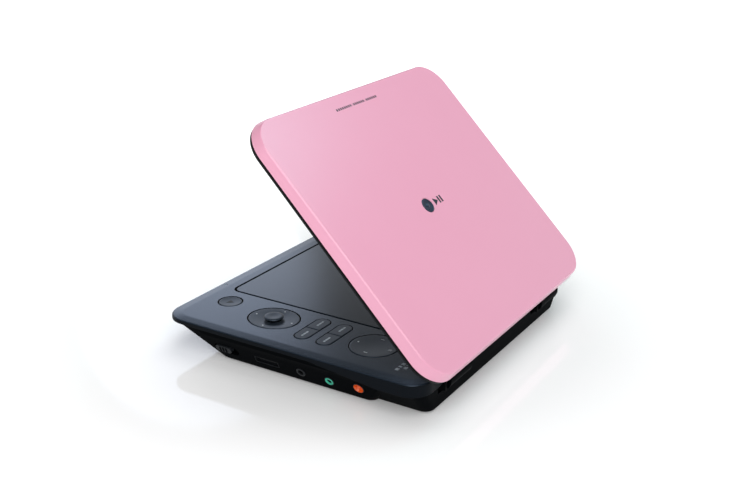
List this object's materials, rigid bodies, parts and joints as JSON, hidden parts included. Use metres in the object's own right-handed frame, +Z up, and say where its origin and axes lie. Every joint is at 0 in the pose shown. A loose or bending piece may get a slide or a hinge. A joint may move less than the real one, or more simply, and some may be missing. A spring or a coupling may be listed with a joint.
{
  "type": "portable dvd player",
  "caption": "Clamshell portable disc player: wedge-sided case with a control deck, hinged disc door and side sockets, and a screen in a rounded folding lid.",
  "frame": {"origin": "middle of the whole player's footprint on the table, at the feet, with the lid open as modelled", "axes": "+X to the user's right (socket side), +Y from the front lip towards the hinge, +Z up"},
  "size_m": [0.205, 0.1932, 0.1544],
  "materials": {
    "case_plastic": "fine-textured black",
    "well_plastic": "satin dark grey",
    "deck_plastic": "satin slate blue-grey",
    "key_plastic": "satin slate blue-grey",
    "cover_plastic": "gloss pink",
    "bezel_plastic": "gloss black",
    "emblem_metal": "dark satin inlay",
    "foot_rubber": "matt",
    "screen_glass": "dark glossy screen",
    "light_guide": "white diffuser",
    "board": "green solder mask",
    "speaker": "paper cone in a plastic frame",
    "lens_glass": "clear moulded lens",
    "battery_wrap": "printed wrap over lithium cells",
    "jack_black": "satin black",
    "jack_teal": "teal green",
    "jack_orange": "orange",
    "port_metal": "nickel-plated shell",
    "sheet_steel": "pressed sheet",
    "turned_steel": "ground bright",
    "screw_steel": "black zinc",
    "motor_can": "drawn can",
    "turntable_plastic": "satin black",
    "sled_plastic": "glass-filled black"
  },
  "bodies": {
    "base": {"bottom_case": "case_plastic", "battery_cover": "case_plastic", "disc_well": "well_plastic", "nav_plate": "key_plastic", "top_deck": "deck_plastic", "main_board": "board", "key_board": "board", "led_window": "lens_glass", "battery_pack": "battery_wrap", "jack_black": "jack_black", "jack_green": "jack_teal", "jack_orange": "jack_orange", "data_port": "port_metal", "drive_chassis": "sheet_steel", "power_switch": "sheet_steel", "hinge_bracket_left": "sheet_steel", "hinge_bracket_right": "sheet_steel", "hinge_pin_left": "turned_steel", "hinge_pin_right": "turned_steel", "guide_rod_left": "turned_steel", "guide_rod_right": "turned_steel", "spindle_motor": "motor_can", "sled_motor": "motor_can", "foot_front_left": "foot_rubber", "case_screw_front_left": "screw_steel", "foot_front_right": "foot_rubber", "case_screw_front_right": "screw_steel", "foot_rear_left": "foot_rubber", "case_screw_rear_left": "screw_steel", "foot_rear_right": "foot_rubber", "case_screw_rear_right": "screw_steel"},
    "lid": {"lid_cover": "cover_plastic", "lid_bezel": "bezel_plastic", "lid_emblem": "emblem_metal", "lid_screw_cap_left": "foot_rubber", "lid_screw_cap_right": "foot_rubber", "lcd_panel": "screen_glass", "backlight": "light_guide", "lid_board": "board", "speaker_left": "speaker", "speaker_right": "speaker", "hinge_knuckle_left": "bezel_plastic", "hinge_knuckle_right": "bezel_plastic"},
    "disc_door": {"disc_door": "deck_plastic"},
    "open_button": {"open_button": "key_plastic"},
    "door_latch": {"door_latch": "sheet_steel"},
    "stick_gimbal": {"stick_gimbal": "sheet_steel"},
    "joystick": {"joystick": "key_plastic"},
    "key_front_left": {"key_front_left": "key_plastic"},
    "key_front_right": {"key_front_right": "key_plastic"},
    "key_rear_left": {"key_rear_left": "key_plastic"},
    "key_rear_right": {"key_rear_right": "key_plastic"},
    "pad_gimbal": {"pad_gimbal": "sheet_steel"},
    "dial_pad": {"dial_pad": "key_plastic"},
    "power_slider": {"power_slider": "key_plastic"},
    "turntable": {"turntable": "turntable_plastic"},
    "pickup_sled": {"pickup_sled": "sled_plastic", "pickup_lens": "lens_glass"},
    "lead_screw": {"lead_screw": "turned_steel"}
  },
  "joints": [
    {"name": "lid_hinge", "type": "hinge", "parent": "base", "child": "lid", "pos_m": [0, 0.0834, 0.018], "axis": [-1, 0, 0], "range_deg": [-45.86, 104.14]},
    {"name": "disc_door_hinge", "type": "hinge", "parent": "base", "child": "disc_door", "pos_m": [-0.01975, 0.0619, 0.0232], "axis": [-1, 0, 0], "range_deg": [0, 45]},
    {"name": "open_button_press", "type": "slide", "parent": "base", "child": "open_button", "axis": [0, 0, -1], "range_m": [0, 0.0012], "stiffness_N_per_m": 300},
    {"name": "door_latch_slide", "type": "slide", "parent": "base", "child": "door_latch", "axis": [1, 0, 0], "range_m": [0, 0.0012]},
    {"name": "stick_tilt_rear", "type": "hinge", "parent": "base", "child": "stick_gimbal", "pos_m": [0.071, -0.0346, 0.0195], "axis": [1, 0, 0], "range_deg": [-6, 6], "stiffness_Nm_per_rad": 0.02},
    {"name": "stick_tilt_side", "type": "hinge", "parent": "stick_gimbal", "child": "joystick", "pos_m": [0.071, -0.0346, 0.0195], "axis": [0, 1, 0], "range_deg": [-6, 6], "stiffness_Nm_per_rad": 0.02},
    {"name": "key_front_left_press", "type": "slide", "parent": "base", "child": "key_front_left", "axis": [0, 0, -1], "range_m": [0, 0.0008], "stiffness_N_per_m": 300},
    {"name": "key_front_right_press", "type": "slide", "parent": "base", "child": "key_front_right", "axis": [0, 0, -1], "range_m": [0, 0.0008], "stiffness_N_per_m": 300},
    {"name": "key_rear_left_press", "type": "slide", "parent": "base", "child": "key_rear_left", "axis": [0, 0, -1], "range_m": [0, 0.0008], "stiffness_N_per_m": 300},
    {"name": "key_rear_right_press", "type": "slide", "parent": "base", "child": "key_rear_right", "axis": [0, 0, -1], "range_m": [0, 0.0008], "stiffness_N_per_m": 300},
    {"name": "pad_tilt_rear", "type": "hinge", "parent": "base", "child": "pad_gimbal", "pos_m": [0.071, 0.0369, 0.021], "axis": [1, 0, 0], "range_deg": [-2.5, 2.5], "stiffness_Nm_per_rad": 0.05},
    {"name": "pad_tilt_side", "type": "hinge", "parent": "pad_gimbal", "child": "dial_pad", "pos_m": [0.071, 0.0369, 0.021], "axis": [0, 1, 0], "range_deg": [-2.5, 2.5], "stiffness_Nm_per_rad": 0.05},
    {"name": "power_slide", "type": "slide", "parent": "base", "child": "power_slider", "axis": [0, 1, 0], "range_m": [0, 0.005]},
    {"name": "turntable_spin", "type": "hinge", "parent": "base", "child": "turntable", "pos_m": [-0.01975, -0.01, 0.015], "axis": [0, 0, 1], "continuous": true},
    {"name": "pickup_travel", "type": "slide", "parent": "base", "child": "pickup_sled", "axis": [0, 1, 0], "range_m": [-0.0105, 0.0235]},
    {"name": "lead_screw_turn", "type": "hinge", "parent": "base", "child": "lead_screw", "pos_m": [0.01125, -0.008, 0.0095], "axis": [0, 1, 0], "range_deg": [-1300, 2900]}
  ],
  "couplings": [
    {"joint": "door_latch_slide", "follows": "open_button_press", "ratio": 1},
    {"joint": "lead_screw_turn", "follows": "pickup_travel", "rad_per_m": 2094.4}
  ]
}
